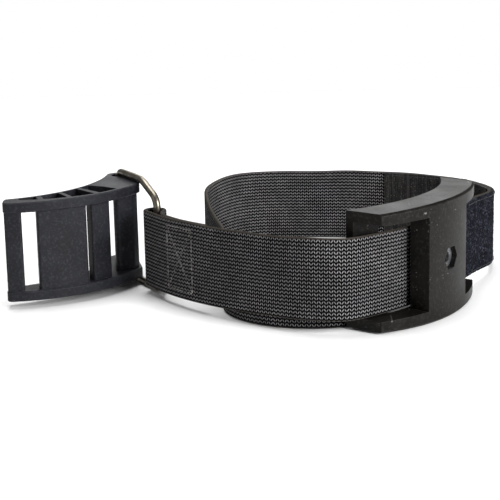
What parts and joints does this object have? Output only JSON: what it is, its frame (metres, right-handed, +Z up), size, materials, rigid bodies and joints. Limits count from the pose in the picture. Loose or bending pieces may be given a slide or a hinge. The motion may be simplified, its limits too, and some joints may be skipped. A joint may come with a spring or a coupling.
{
  "type": "dive belt webbing band with cam lever buckle",
  "caption": "Webbing band with a cam lever on a wire bail at a sewn eye, a curved saddle plate threaded on it, and hook and loop tape.",
  "frame": {"origin": "centre of the object's box at the level it stands on", "axes": "+Z up along the cylinder axis, +X from the lever's tip towards the saddle plate and the loop's outer bend, +Y away from the front strand"},
  "size_m": [0.32, 0.2512, 0.0736],
  "materials": {
    "webbing": "woven nylon webbing with pale flecks",
    "loop_tape": "fuzzy loop pile",
    "hook_tape": "stiff hook tape",
    "eye_thread": "grey bonded thread",
    "tape_thread": "black bonded thread",
    "saddle_moulding": "scuffed satin moulding",
    "nut_steel": "plain",
    "wire_steel": "drawn wire",
    "lever_moulding": "fine-grained moulding"
  },
  "bodies": {
    "webbing": {"webbing_front": "webbing", "webbing_eye": "webbing", "webbing_in_saddle": "webbing", "webbing_right": "webbing", "webbing_back": "webbing", "webbing_left": "webbing", "webbing_tail": "webbing", "loop_tape": "loop_tape", "hook_tape": "hook_tape", "eye_stitching": "eye_thread", "loop_tape_stitching": "tape_thread", "hook_tape_stitching": "tape_thread"},
    "saddle": {"saddle_plate": "saddle_moulding", "saddle_nut": "nut_steel"},
    "bail": {"wire_bail": "wire_steel"},
    "lever": {"cam_lever": "lever_moulding"}
  },
  "joints": [
    {"name": "bail_swing", "type": "hinge", "parent": "webbing", "child": "bail", "pos_m": [-0.06565, -0.01954, 0.0304], "axis": [0, 0, 1], "range_deg": [-40, 60]},
    {"name": "lever_swing", "type": "hinge", "parent": "bail", "child": "lever", "pos_m": [-0.09287, 0.02798, 0.0367], "axis": [0, 0, 1], "range_deg": [-120, 3]},
    {"name": "saddle_slide", "type": "hinge", "parent": "webbing", "child": "saddle", "pos_m": [0.02363, -0.02302, 0.0368], "axis": [0, 0, 1], "range_deg": [-3, 3]}
  ]
}
